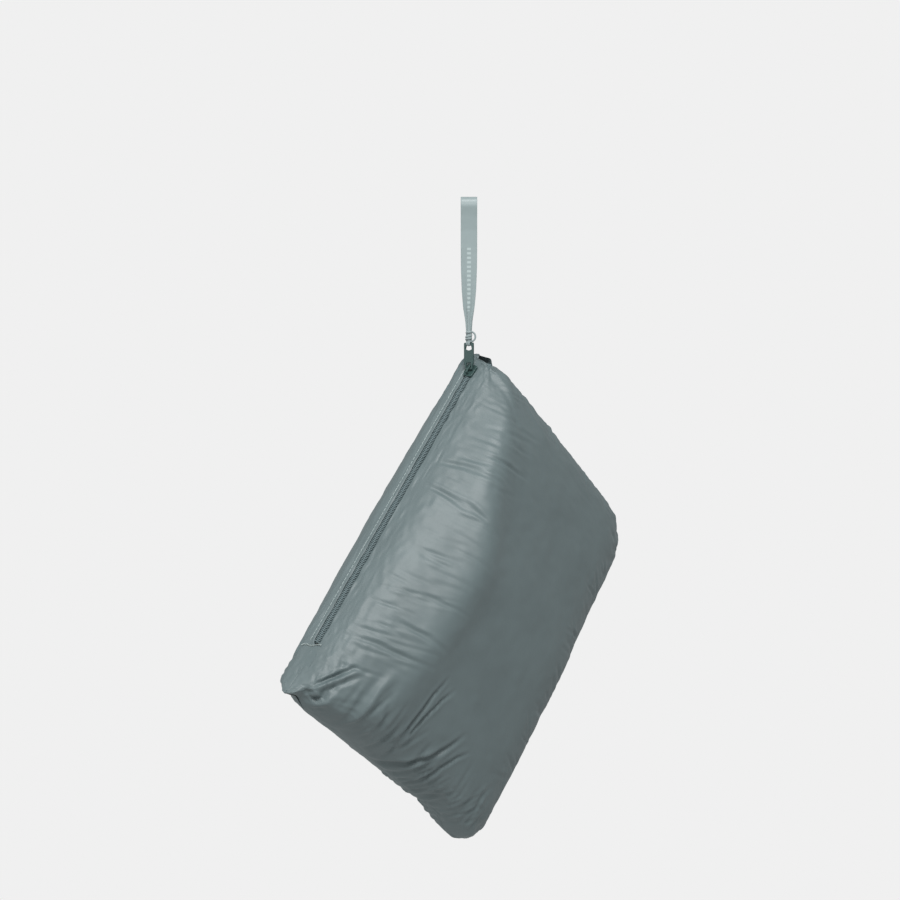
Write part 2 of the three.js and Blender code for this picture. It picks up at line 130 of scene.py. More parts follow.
def sewn_form(side, across, along, level=FABRIC_TOP, reach=None):
    """Points of one panel in the pouch frame.

    across runs from 0 at the zip to 1 at the far seam, along from 0 at the top end to 1 at the bottom end.
    """
    end_turn = along * math.pi
    end_fullness = np.sin(end_turn) ** 0.8
    end_distance = POUCH_LENGTH / 2 * (1 - np.abs(np.cos(end_turn)))
    strip_fullness = np.minimum(1, np.sqrt(end_distance / STRIP_CLOSE))
    drop = POUCH_LENGTH / 2 * (1 - np.cos(end_turn)) - TOP_RISE
    edge = fabric_edge(side, drop)
    if reach is None:
        reach = edge + (STRIP_BEND - edge) * np.minimum(1, across / STRIP_SHARE)
    strip_x = side * reach * strip_fullness * math.sin(ZIP_TURN) - level * math.cos(ZIP_TURN)
    strip_h = reach * math.cos(ZIP_TURN) + side * level * math.sin(ZIP_TURN)
    turn = math.pi * np.maximum(0, across - STRIP_SHARE) / (1 - STRIP_SHARE)
    far_edge = POUCH_WIDTH - FAR_PULL * np.sin(end_turn)
    x = strip_x + (far_edge - strip_x) * (1 - np.cos(turn)) / 2
    crown = (CROWN_HEIGHT - strip_h / 2) * np.sin(turn) ** CROWN_POWER * end_fullness
    h = strip_fullness * (strip_h * (1 + np.cos(turn)) / 2 + crown)
    half_length = POUCH_LENGTH / 2 - END_PULL * np.sin(turn)
    z = TOP_RISE - POUCH_LENGTH / 2 + half_length * np.cos(end_turn)
    return slumped(*np.broadcast_arrays(x, -side * h, z)) * MM


def slumped(x, y, z):
    """The fill's weight draws the cloth down and over its far edge, and the far corners are blunted."""
    share = np.clip(x / POUCH_WIDTH, 0, 1)
    middle = TOP_RISE - POUCH_LENGTH / 2
    top = np.clip((z - middle) / (POUCH_LENGTH / 2), 0, 1)
    bottom = np.clip((middle - z) / (POUCH_LENGTH / 2), 0, 1)
    top_fall = 1.5 + 3 * share + 3 * share ** 2
    bottom_fall = 6 + 7 * share ** 3.4
    fall = top * top_fall + bottom * bottom_fall * smooth_step(x, 2, 14)
    x = x + share ** 2 * (FAR_SLUMP + LOW_SLUMP * np.clip((-z - 150) / 100, 0, 1))
    z = z - fall
    for way, reach, softness in BLUNT_CORNERS:
        diagonal = (x + way * z) / math.sqrt(2)
        past = 0.9 * softness * np.log1p(np.exp((diagonal - reach) / softness)) / math.sqrt(2)
        x = x - past
        z = z - way * past
    return np.stack([x, y, z], axis=-1)


# ---- small tools ------------------------------------------------------------
WAVE_PERIOD = 0.314


def linear(code, alpha=1.0):
    """A colour socket's value from an sRGB hex code."""
    parts = [int(code[i:i + 2], 16) / 255 for i in (1, 3, 5)]
    return [c / 12.92 if c <= 0.04045 else ((c + 0.055) / 1.055) ** 2.4 for c in parts] + [alpha]


def add_node(tree, kind, inputs=None, **settings):
    """Adds a node with its settings; a socket among the inputs is linked, and any other value is set."""
    made = tree.nodes.new(kind)
    for key, value in settings.items():
        setattr(made, key, value)
    for key, value in (inputs or {}).items():
        if isinstance(value, bpy.types.NodeSocket):
            tree.links.new(value, made.inputs[key])
        else:
            made.inputs[key].default_value = value
    return made


def new_material(name):
    made = bpy.data.materials.get(name)
    if made:
        return made, None
    made = bpy.data.materials.new(name)
    made.use_nodes = True
    made.node_tree.nodes.clear()
    return made, made.node_tree


def calculated(tree, operation, *values):
    """The result of one Math node."""
    return add_node(tree, "ShaderNodeMath", dict(enumerate(values)), operation=operation).outputs[0]


def yarns(tree, place, spacing, distortion, direction, detail=1.0):
    """Lines of yarn at a spacing; a wave of scale WAVE_PERIOD repeats once in each unit."""
    return add_node(tree, "ShaderNodeTexWave", {
        "Vector": place, "Scale": WAVE_PERIOD / spacing, "Distortion": distortion, "Detail": detail,
    }, bands_direction=direction).outputs["Fac"]


def bumped(tree, strength, depth, height, under=None):
    """A bump's normal, laid over the one under it."""
    inputs = {"Strength": strength, "Distance": depth, "Height": height}
    if under:
        inputs["Normal"] = under
    return add_node(tree, "ShaderNodeBump", inputs).outputs["Normal"]


def uneven_colour(tree, colour, factor, vary, reach=(0, 1)):
    """A colour that is darker and lighter by a share, as a texture's factor rises over a reach."""
    base = linear(colour)
    ramp = add_node(tree, "ShaderNodeValToRGB", {"Fac": factor})
    for element, place, share in zip(ramp.color_ramp.elements, reach, (1 - vary, 1 + vary)):
        element.position = place
        element.color = [c * share for c in base[:3]] + [1]
    return ramp.outputs["Color"]


def finish_surface(tree, sockets):
    """Ends a material in one Principled shader."""
    surface = add_node(tree, "ShaderNodeBsdfPrincipled", sockets)
    add_node(tree, "ShaderNodeOutputMaterial", {"Surface": surface.outputs["BSDF"]})


def new_object(name, data):
    made = bpy.data.objects.new(name, data)
    bpy.context.scene.collection.objects.link(made)
    return made


def painted(mesh, material):
    mesh.materials.clear()
    mesh.materials.append(material)


def dress(name, material):
    """Gives a piece of the frame its finish as it is."""
    painted(frame["nodes"][name].data, material)


def add_piece(name, mesh, material, body, slot, stands_for=()):
    """Puts a finished mesh in the scene on its body."""
    piece = new_object(name, mesh)
    painted(mesh, material)
    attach(piece, body)
    if stands_for:
        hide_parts(*stands_for)
    return piece


def shade_smooth(mesh):
    mesh.polygons.foreach_set("use_smooth", [True] * len(mesh.polygons))


def read(items, field, width):
    """A field of many items, a row for each."""
    values = np.empty(len(items) * width)
    items.foreach_get(field, values)
    return values.reshape(-1, width)


def grid_mesh(name, points, cut):
    """A smooth sheet through a grid of points, with its flat cut in metres as its UV map."""
    rows, columns = points.shape[:2]
    mesh = bpy.data.meshes.new(name)
    corner = np.arange(rows * columns).reshape(rows, columns)
    faces = np.stack([corner[:-1, :-1], corner[1:, :-1], corner[1:, 1:], corner[:-1, 1:]], axis=-1)
    mesh.from_pydata(points.reshape(-1, 3), [], faces.reshape(-1, 4).tolist())
    place = mesh.attributes.new("place", "FLOAT2", "POINT")
    place.data.foreach_set("vector", cut.reshape(-1, 2).ravel())
    layer = mesh.uv_layers.new(name="cut")
    loops = np.empty(len(mesh.loops), dtype=int)
    mesh.loops.foreach_get("vertex_index", loops)
    layer.data.foreach_set("uv", cut.reshape(-1, 2)[loops].ravel())
    shade_smooth(mesh)
    return mesh


def applied(mesh, *modifiers):
    """The mesh with modifiers applied; each is (kind, settings)."""
    carrier = new_object("carrier", mesh)
    for kind, settings in modifiers:
        modifier = carrier.modifiers.new(kind, kind)
        for key, value in settings.items():
            setattr(modifier, key, value)
    graph = bpy.context.evaluated_depsgraph_get()
    result = bpy.data.meshes.new_from_object(carrier.evaluated_get(graph))
    bpy.data.objects.remove(carrier)
    shade_smooth(result)
    return result


def curve_mesh(data, paths, closed):
    """The mesh of a curve that runs along paths of points."""
    for path in paths:
        spline = data.splines.new("POLY")
        spline.points.add(len(path) - 1)
        for point, place in zip(spline.points, path):
            point.co = (*place, 1)
        spline.use_cyclic_u = closed
    carrier = bpy.data.objects.new(data.name, data)
    mesh = bpy.data.meshes.new_from_object(carrier)
    bpy.data.objects.remove(carrier)
    return mesh


def swept_mesh(paths, radius, sides=2):
    """Round threads or wires along paths of points."""
    data = bpy.data.curves.new("wire", "CURVE")
    data.dimensions = "3D"
    data.bevel_depth = radius
    data.bevel_resolution = sides
    data.use_fill_caps = True
    mesh = curve_mesh(data, paths, closed=False)
    shade_smooth(mesh)
    return mesh


def plate_mesh(outlines, thickness, edge):
    """A flat plate with rounded edges, from its outline and holes in its own x and y."""
    data = bpy.data.curves.new("plate", "CURVE")
    data.dimensions = "2D"
    data.fill_mode = "BOTH"
    data.extrude = thickness / 2 - edge
    data.bevel_depth = edge
    data.bevel_resolution = 3
    data.offset = -edge
    mesh = curve_mesh(data, [[(x, y, 0) for x, y in outline] for outline in outlines], closed=True)
    work = bmesh.new()
    work.from_mesh(mesh)
    bmesh.ops.remove_doubles(work, verts=work.verts, dist=1e-6)
    bmesh.ops.recalc_face_normals(work, faces=work.faces)
    work.to_mesh(mesh)
    work.free()
    mesh.polygons.foreach_set("use_smooth", [abs(p.normal.z) < 0.999 for p in mesh.polygons])
    return mesh


def joined(meshes):
    work = bmesh.new()
    for mesh in meshes:
        work.from_mesh(mesh)
    result = bpy.data.meshes.new(meshes[0].name)
    work.to_mesh(result)
    work.free()
    return result


def rounded(corners, radius, steps=5):
    """An outline in metres through corners in millimetres, each rounded to a radius in millimetres."""
    corners = [(x * MM, y * MM) for x, y in corners]
    radius *= MM
    outline = []
    count = len(corners)
    for i in range(count):
        here = Vector(corners[i])
        back = Vector(corners[i - 1]) - here
        ahead = Vector(corners[(i + 1) % count]) - here
        cut = min(radius, back.length * 0.49, ahead.length * 0.49)
        start = here + back.normalized() * cut
        end = here + ahead.normalized() * cut
        for step in range(steps + 1):
            t = step / steps
            outline.append((start * (1 - t) ** 2 + here * 2 * t * (1 - t) + end * t * t)[:])
    return outline


def placed(mesh, matrix):
    mesh.transform(matrix)
    return mesh


# ---- finishes ---------------------------------------------------------------
def shell_taffeta(colour):
    """Calendered nylon taffeta, dyed: its pressed yarns give a broad soft gloss and fine crumples."""
    made, tree = new_material("calendered nylon taffeta")
    if tree is None:
        return made
    # Yarns lie 0.25 mm apart; they are drawn 0.9 mm apart so that the weave shows.
    uv = add_node(tree, "ShaderNodeUVMap", uv_map="cut").outputs["UV"]
    weft = yarns(tree, uv, 0.9 * MM, 0.6, "X")
    warp = yarns(tree, uv, 0.9 * MM, 0.6, "Y")
    weave = calculated(tree, "ADD", weft, warp)
    # Crumples left by packing: 4 to 20 mm across.
    crumple = add_node(tree, "ShaderNodeTexNoise", {
        "Vector": uv, "Scale": 1 / (14 * MM), "Detail": 6.0, "Roughness": 0.62, "Distortion": 0.6,
    })
    # Fine gathers off the zip: 5 mm apart and some 40 mm long.
    slanted = add_node(tree, "ShaderNodeMapping", {
        "Vector": uv, "Rotation": (0, 0, math.radians(-20)), "Scale": (1 / (42 * MM), 1 / (5.5 * MM), 1),
    })
    gathers = add_node(tree, "ShaderNodeTexNoise", {
        "Vector": slanted.outputs["Vector"], "Scale": 1.0, "Detail": 3.0, "Roughness": 0.5,
    })
    sides = add_node(tree, "ShaderNodeSeparateXYZ", {"Vector": uv})
    near_zip = add_node(tree, "ShaderNodeMapRange", {
        "Value": sides.outputs["X"],
        "From Min": 0.012, "From Max": 0.085, "To Min": 1.0, "To Max": 0.12,
    })
    kept = calculated(tree, "MULTIPLY", gathers.outputs["Fac"], near_zip.outputs["Result"])
    gather_bump = bumped(tree, 0.5, 0.8 * MM, kept)
    crumple_bump = bumped(tree, 0.22, 0.7 * MM, crumple.outputs["Fac"], gather_bump)
    weave_bump = bumped(tree, 0.10, 0.08 * MM, weave, crumple_bump)
    # The dye takes a little unevenly along the yarns.
    patches = add_node(tree, "ShaderNodeTexNoise", {"Vector": uv, "Scale": 1 / (30 * MM), "Detail": 4.0})
    finish_surface(tree, {
        "Base Color": uneven_colour(tree, colour, patches.outputs["Fac"], 0.05, (0.35, 0.65)),
        "Roughness": 0.52, "IOR": 1.53, "Specular IOR Level": 0.7,
        "Sheen Weight": 0.12, "Sheen Roughness": 0.4, "Sheen Tint": linear("#cfe0e2"),
        "Normal": weave_bump,
    })
    return made


def object_weave(name, colour, spacing, roughness, depth, metallic=0.0, sheen=0.0, vary=0.06):
    """A finish on Object coordinates: fine threads or grain at a spacing, and a little unevenness."""
    made, tree = new_material(name)
    if tree is None:
        return made
    place = add_node(tree, "ShaderNodeTexCoord").outputs["Object"]
    threads = yarns(tree, place, spacing, 1.0, "DIAGONAL", detail=2.0)
    noise = add_node(tree, "ShaderNodeTexNoise", {"Vector": place, "Scale": 0.5 / spacing, "Detail": 3.0})
    grain = noise.outputs["Fac"]
    finish_surface(tree, {
        "Base Color": uneven_colour(tree, colour, grain, vary), "Roughness": roughness, "Metallic": metallic,
        "Sheen Weight": sheen, "Normal": bumped(tree, 0.35, depth, calculated(tree, "ADD", threads, grain)),
    })
    return made


def satin_ribbon(colour, bar_colour):
    """Woven polyester satin ribbon: long floats along it catch the light in a soft lengthwise gloss."""
    made, tree = new_material("woven polyester satin")
    if tree is None:
        return made
    uv = add_node(tree, "ShaderNodeUVMap", uv_map="cut").outputs["UV"]
    # Floats lie 0.2 mm apart; they are drawn 0.6 mm apart so that they show.
    floats = yarns(tree, uv, 0.6 * MM, 0.8, "X")
    noise = add_node(tree, "ShaderNodeTexNoise", {"Vector": uv, "Scale": 1 / (7 * MM), "Detail": 4.0})
    rumple = noise.outputs["Fac"]
    rumple_bump = bumped(tree, 0.3, 0.5 * MM, rumple)
    tone = uneven_colour(tree, colour, rumple, 0.06)
    # Plain bars, 1.5 mm long every 3 mm, are woven down the middle of both falls of the loop.
    sides = add_node(tree, "ShaderNodeSeparateXYZ", {"Vector": uv})
    beat = calculated(tree, "FRACT", calculated(tree, "DIVIDE", sides.outputs["Y"], 3 * MM))
    on = calculated(tree, "LESS_THAN", beat, 0.5)
    inside = calculated(tree, "LESS_THAN", calculated(tree, "ABSOLUTE", sides.outputs["X"]), 1.3 * MM)
    from_bend = calculated(tree, "ABSOLUTE", calculated(tree, "SUBTRACT", sides.outputs["Y"], 104 * MM))
    apart = calculated(tree, "COMPARE", from_bend, 60 * MM, 22 * MM)
    shown = calculated(tree, "MULTIPLY", calculated(tree, "MULTIPLY", on, inside), apart)
    woven = add_node(tree, "ShaderNodeMix", {
        "Factor": shown, "A": tone, "B": linear(bar_colour),
    }, data_type="RGBA")
    finish_surface(tree, {
        "Base Color": woven.outputs["Result"], "Roughness": 0.38, "IOR": 1.5, "Sheen Weight": 0.2,
        "Normal": bumped(tree, 0.3, 0.06 * MM, floats, rumple_bump),
    })
    return made


# ---- settings ---------------------------------------------------------------
def hex_colour(name, description, default):
    return bpy.props.StringProperty(name=name, description=description + ", sRGB hex", default=default)


def length(name, description, default):
    return bpy.props.FloatProperty(name=name, description=description, default=default, unit="LENGTH")


class PouchSettings(bpy.types.PropertyGroup):
    colour: hex_colour("Fabric colour", "Shell fabric", "#6a797b")
    cut_length: length("Cut length", "Length of each panel's cut along the zip", 0.300)
    cut_width: length("Cut width", "Width of each panel's cut from the zip", 0.229)
    pressure: bpy.props.FloatProperty(
        name="Fill pressure", description="How hard the quilt presses on the pouch", default=11.0)
    settle_frames: bpy.props.IntProperty(
        name="Settling frames", description="Frames of cloth settling", default=45)
    crease_depth: bpy.props.FloatProperty(
        name="Crease depth", description="Scales the depth of every pressed crease", default=1.0)


class ZipSettings(bpy.types.PropertyGroup):
    tape_colour: hex_colour("Tape colour", "Zip tape", "#66787b")
    coil_colour: hex_colour("Coil colour", "Zip coil", "#6f8083")
    thread_colour: hex_colour("Topstitch colour", "Pale thread", "#b4c2c1")
    slider_colour: hex_colour("Slider colour", "Slider paint", "#3e5654")
    coil_pitch: length("Coil pitch", "Distance between teeth", 0.0012)


class RibbonSettings(bpy.types.PropertyGroup):
    colour: hex_colour("Ribbon colour", "Satin ribbon", "#98a7a8")
    width: length("Ribbon width", "Flat width of the ribbon", 0.011)
    bar_colour: hex_colour("Woven bar colour", "Pattern woven in the ribbon", "#b6c5c5")


class StageSettings(bpy.types.PropertyGroup):
    surround: hex_colour("Surround colour", "Pale surround", "#f0f0f0")
    lens: bpy.props.FloatProperty(
        name="Lens", description="Camera focal length", default=75.8, unit="CAMERA")
    camera_place: bpy.props.FloatVectorProperty(
        name="Camera place", description="Where the camera stands",
        default=(-0.0127, -1.27, -0.170), subtype="TRANSLATION")
    floor_drop: length("Floor drop", "Floor below the object's lowest point", 0.9)


# ---- the stage --------------------------------------------------------------
class QUILT_OT_stage(bpy.types.Operator):
    """Camera, soft studio lights, a pale floor and surround"""

    bl_idname = "quilt.stage"
    bl_label = "Stage"

    def execute(self, context):
        settings = context.scene.quilt_stage
        data = bpy.data.cameras.new("camera")
        data.lens = settings.lens
        data.sensor_width = 36
        data.clip_start = 0.01
        camera = new_object("camera", data)
        camera.location = settings.camera_place
        camera.rotation_euler = (math.radians(90), 0, 0)
        context.scene.camera = camera
        context.scene.view_settings.view_transform = "Standard"
        self.add_world(context, settings)
        self.add_light("key", (0.06, -1.05, 0.76), (0.0, 0.0, -0.27), 0.6, 15.5)
        self.add_light("side", (-1.2, -0.4, 0.2), (0.0, 0.0, -0.25), 0.8, 2.5)
        self.add_floor(settings)
        return {"FINISHED"}

    def add_world(self, context, settings):
        world = bpy.data.worlds.new("pale studio")
        world.use_nodes = True
        tree = world.node_tree
        tree.nodes.clear()
        pale = linear(settings.surround)
        seen = add_node(tree, "ShaderNodeBackground", {"Color": pale, "Strength": 1.0})
        light = add_node(tree, "ShaderNodeBackground", {"Color": pale, "Strength": 0.38})
        ray = add_node(tree, "ShaderNodeLightPath").outputs["Is Camera Ray"]
        mixed = add_node(tree, "ShaderNodeMixShader", {0: ray, 1: light.outputs[0], 2: seen.outputs[0]})
        add_node(tree, "ShaderNodeOutputWorld", {"Surface": mixed.outputs[0]})
        context.scene.world = world

    def add_light(self, name, place, target, size, power):
        data = bpy.data.lights.new(name, "AREA")
        data.size = size
        data.energy = power
        lamp = new_object(name, data)
        lamp.location = place
        lamp.rotation_euler = (Vector(target) - Vector(place)).to_track_quat("-Z", "Y").to_euler()

    def add_floor(self, settings):
        work = bmesh.new()
        bmesh.ops.create_circle(work, cap_ends=True, segments=96, radius=2.6)
        bmesh.ops.translate(work, verts=work.verts, vec=(0, 0, CAD_BOX[0][2] - settings.floor_drop))
        mesh = bpy.data.meshes.new("floor")
        work.to_mesh(mesh)
        work.free()
        floor = new_object("floor", mesh)
        paint = object_weave("matt painted floor", settings.surround, 4 * MM, 0.9, 0.02 * MM, vary=0.01)
        surface = next(node for node in paint.node_tree.nodes if node.type == "BSDF_PRINCIPLED")
        # The floor reads as pale as the surround, and lights the pouch no more than paint would.
        ray = add_node(paint.node_tree, "ShaderNodeLightPath").outputs["Is Camera Ray"]
        glow = calculated(paint.node_tree, "MULTIPLY", ray, 0.42)
        surface.inputs["Emission Color"].default_value = linear(settings.surround)
        paint.node_tree.links.new(glow, surface.inputs["Emission Strength"])
        mesh.materials.append(paint)


# ---- the pouch --------------------------------------------------------------
# Pressed creases: points (across the pouch, down the zip) in mm, then depth and width in mm.
FRONT_CREASES = [
    ([(72, 258), (82, 253.5), (92, 247), (101, 235.5), (107.5, 223), (113, 211)], 2.7, 1.6),
    ([(90, 258), (99, 251), (104, 240), (108, 226)], 1.5, 1.5),
    ([(79, 251), (73, 241), (70, 227), (70, 207), (73, 192)], 1.9, 1.3),
    ([(77, 246), (74, 236), (75, 222), (79, 205), (84, 194)], 1.6, 1.2),
    ([(110, 254), (112, 246), (113, 236), (119, 224), (126, 216)], 1.6, 1.3),
    ([(118, 256), (122, 246), (126, 236)], 1.1, 1.3),
    ([(38, 252), (37, 244), (36, 236), (35, 225), (36, 214)], -2.0, 2.6),
    ([(54, 250), (52, 240), (50, 228)], 1.0, 1.6),
    ([(6, 245), (11.5, 236.5), (15.5, 229.5), (20, 222)], -1.9, 1.5),
    ([(3, 246), (8.5, 236.5), (12.5, 228.5), (17, 220.5)], 1.3, 1.1),
    ([(10, 252), (12, 248), (10, 239)], 2.4, 2.0),
    ([(3, 91), (9, 92), (20, 95), (32, 96)], 0.9, 1.6),
    ([(1, 73), (12, 69), (22, 67)], 0.9, 1.6),
    ([(10, 62), (22, 60), (34, 58)], 0.8, 1.6),
    ([(4, 91), (22, 92), (42, 99)], 0.7, 1.5),
]


# Tucks at the ends of the zip: middle, reach and push in the pouch frame, in mm. Both panels follow one
# tuck, so their seam stays closed; an opening pulls the front panel alone away from its end facing.
TUCKS = [
    ((-2.0, 0.0, 18.0), (3.5, 8.0, 4.0), (-1.0, 0.0, -3.0)),
    ((8.0, 0.0, 16.5), (4.5, 8.0, 5.0), (0.5, 0.0, 3.5)),
    ((-1.4, 0.0, -252.0), (6.0, 9.0, 9.0), (-2.0, 0.0, -3.5)),
    ((8.0, -8.0, -248.0), (5.0, 4.0, 2.2), (2.0, 5.0, 2.0)),
]
FRONT_OPENINGS = [
    ((5.5, -6.0, 18.0), (4.5, 30.0, 10.0), (0.0, 1.5, -8.0)),
    ((-0.5, -6.0, 19.0), (3.5, 30.0, 8.0), (0.0, 1.5, -4.5)),
    ((6.0, -3.0, -252.0), (6.0, 8.0, 4.5), (0.0, 0.5, 1.0)),
]


def crease_press(places, creases):
    """How far each place (across, down) in mm is pressed in by the creases."""
    press = np.zeros(len(places))
    for points, depth, width in creases:
        path = np.array(points, float)
        nearest = np.full(len(places), 1e9)
        share = np.zeros(len(places))
        for i in range(len(path) - 1):
            start, run = path[i], path[i + 1] - path[i]
            t = np.clip(((places - start) @ run) / (run @ run), 0, 1)
            gap = np.linalg.norm(places - start - t[:, None] * run, axis=1)
            closer = gap < nearest
            nearest = np.where(closer, gap, nearest)
            share = np.where(closer, (i + t) / (len(path) - 1), share)
        near = nearest < 5 * width
        taper = np.sin(np.pi * np.clip(share[near] * 0.94 + 0.03, 0, 1)) ** 0.9
        d = nearest[near] / width
        press[near] += depth * taper * (np.exp(-d * d) - 0.42 * np.exp(-((d - 1.9) / 0.9) ** 2))
    return press


# Small creases that run in from the seams: how many; the seam's place and the way in from it; then, as
# ranges, places along the seam and lengths; the middle and spread of their slope; depths; widths.
END_SEAM_CREASES = [
    (46, 251, -1, (6, 178), (10, 34), (0.12, 0.25), (0.25, 0.9), (1.0, 2.2)),
    (44, 256, -1, (96, 158), (6, 20), (0.85, 0.15), (0.2, 0.5), (0.8, 1.3)),
    (36, -18, 1, (4, 178), (8, 26), (0.1, 0.3), (0.2, 0.7), (1.0, 2.0)),
]
FAR_SEAM_CREASES = (40, 182, -1, (-10, 244), (8, 30), (0, 0.3), (0.2, 0.6), (1.0, 2.0))
CREASE_STATIONS = (0, 0.33, 0.66, 1)


def seam_creases(rng, count, seam, way, places, lengths, slopes, depths, widths):
    """Creases as (points, depth, width); a point is its place along the seam and its place across it."""
    for _ in range(count):
        place = rng.uniform(*places)
        reach = rng.uniform(*lengths)
        slope = rng.normal(*slopes)
        points = [(place + slope * reach * t, seam + way * reach * t) for t in CREASE_STATIONS]
        yield points, rng.uniform(*depths), rng.uniform(*widths)


def zip_creases(rng):
    """Creases that run out from the zip and down, each bowed a little."""
    for _ in range(64):
        down = rng.uniform(-8, 236)
        reach = rng.uniform(14, 44) * (0.6 + 0.4 * (down > 20))
        start = rng.uniform(3, 22)
        slope = rng.normal(0.20, 0.10)
        bow = rng.normal(0, 0.05)
        points = [(start + reach * t, down - reach * t * (slope + bow * t)) for t in CREASE_STATIONS]
        yield points, rng.uniform(0.15, 0.5), rng.uniform(0.9, 1.7)


def scattered_creases(seed):
    """Small creases that run in from each seam, where the cloth is gathered."""
    rng = np.random.default_rng(seed)
    creases = list(zip_creases(rng))
    for row in END_SEAM_CREASES:
        creases += seam_creases(rng, *row)
    for points, depth, width in seam_creases(rng, *FAR_SEAM_CREASES):
        creases.append(([(across, down) for down, across in points], depth, width))
    return creases


class QUILT_OT_pouch(bpy.types.Operator):
    """The two shell panels, sewn, filled and settled as cloth, with their pressed creases"""

    bl_idname = "quilt.pouch"
    bl_label = "Pouch"

    def execute(self, context):
        settings = context.scene.quilt_pouch
        front, back = self.start_form()
        front, back = self.settled(front, back, settings)
        fabric = shell_taffeta(settings.colour)
        for side, form in ((1, front), (-1, back)):
            self.add_panel(side, form, fabric, settings)
        return {"FINISHED"}

    def start_form(self):
        along = np.linspace(0, 1, ROWS + 1)[:, None]
        across = np.linspace(0, 1, COLUMNS + 1)[None, :]
        return sewn_form(1, across, along), sewn_form(-1, across, along)

    def cut_pattern(self, settings):
        """Flat places of a panel's grid in metres: across from the zip, and down from the top end."""
        along = np.linspace(0, 1, ROWS + 1)
        across = np.linspace(0, 1, COLUMNS + 1)
        middle = sewn_form(1, across, np.full_like(across, 0.5))
        crest = sewn_form(1, np.full_like(along, 0.55), along)
        run = np.concatenate([[0], np.cumsum(np.linalg.norm(np.diff(middle, axis=0), axis=1))])
        fall = np.concatenate([[0], np.cumsum(np.linalg.norm(np.diff(crest, axis=0), axis=1))])
        x = run / run[-1] * settings.cut_width
        z = fall / fall[-1] * settings.cut_length
        return np.stack(np.meshgrid(x, z), axis=-1)

    def sewn_corners(self, rows, columns):
        """Numbers of the grids' corners, with the seams' corners shared, and which of them are used."""
        front = np.arange(rows * columns).reshape(rows, columns)
        back = front + rows * columns
        back[0, :] = front[0, :]
        back[-1, :] = front[-1, :]
        back[:, -1] = front[:, -1]
        used = np.unique(np.concatenate([front.ravel(), back.ravel()]))
        number = np.full(2 * rows * columns, -1)
        number[used] = np.arange(len(used))
        return number[front], number[back], used

    def sewn_faces(self, front, back):
        """Faces of both panels and of the web that closes the zip between them."""

        def quads(a, b):
            return np.stack([a[:-1], a[1:], b[1:], b[:-1]], axis=-1)

        faces = []
        for c in range(front.shape[1] - 1):
            faces.append(quads(front[:, c], front[:, c + 1]))
            faces.append(quads(back[:, c + 1], back[:, c]))
        faces.append(quads(back[1:-1, 0], front[1:-1, 0]))
        # Where a seam's corners coincide, the face has one corner fewer.
        quads_listed = np.concatenate(faces).tolist()
        return [[v for i, v in enumerate(face) if v != face[i - 1]] for face in quads_listed]

    def settled(self, front, back, settings):
        """Both panels after the cloth has settled round its fill."""
        corner_front, corner_back, used = self.sewn_corners(*front.shape[:2])
        start = np.concatenate([front.reshape(-1, 3), back.reshape(-1, 3)])[used]
        flat = np.zeros_like(start)
        flat[:, 0::2] = np.concatenate([self.cut_pattern(settings).reshape(-1, 2)] * 2)[used]
        flat[:, 2] *= -1
        rng = np.random.default_rng(11)
        start += rng.normal(0, 0.25 * MM, start.shape)
        mesh = bpy.data.meshes.new("cloth")
        mesh.from_pydata(start, [], self.sewn_faces(corner_front, corner_back))
        cloth = new_object("cloth", mesh)
        cloth.shape_key_add(name="sewn")
        key = cloth.shape_key_add(name="cut")
        key.data.foreach_set("co", flat.ravel())
        held = cloth.vertex_groups.new(name="held")
        strip = round(COLUMNS * STRIP_SHARE * 0.5) + 1
        pins = set(corner_front[:, :strip].ravel()) | set(corner_back[:, :strip].ravel())
        pins |= set(corner_front[:, -1]) | set(corner_front[0, :])
        held.add([int(v) for v in pins], 1.0, "REPLACE")
        self.add_cloth(cloth, key, settings)
        for moment in range(1, settings.settle_frames + 1):
            bpy.context.scene.frame_set(moment)
        graph = bpy.context.evaluated_depsgraph_get()
        places = read(cloth.evaluated_get(graph).to_mesh().vertices, "co", 3)
        bpy.data.objects.remove(cloth)
        bpy.context.scene.frame_set(1)
        return places[corner_front], places[corner_back]

    def add_cloth(self, cloth, key, settings):
        modifier = cloth.modifiers.new("cloth", "CLOTH")
        physics = modifier.settings
        physics.rest_shape_key = key
        physics.quality = 6
        physics.mass = 0.15
        physics.tension_stiffness = 30
        physics.compression_stiffness = 30
        physics.shear_stiffness = 8
        physics.bending_stiffness = 0.012
        physics.air_damping = 2
        physics.use_pressure = True
        physics.uniform_pressure_force = settings.pressure
        physics.effector_weights.gravity = 0
        physics.vertex_group_mass = "held"
        modifier.collision_settings.use_collision = False
        modifier.point_cache.frame_end = settings.settle_frames + 1

    def add_panel(self, side, form, fabric, settings):
        name, solid = ("pouch_front", "front_panel") if side > 0 else ("pouch_back", "back_panel")
        cut = self.cut_pattern(settings)
        along = np.linspace(0, 1, ROWS + 1)[:, None]
        drop = POUCH_LENGTH / 2 * (1 - np.cos(along * math.pi)) - TOP_RISE
        edge = fabric_edge(side, drop)
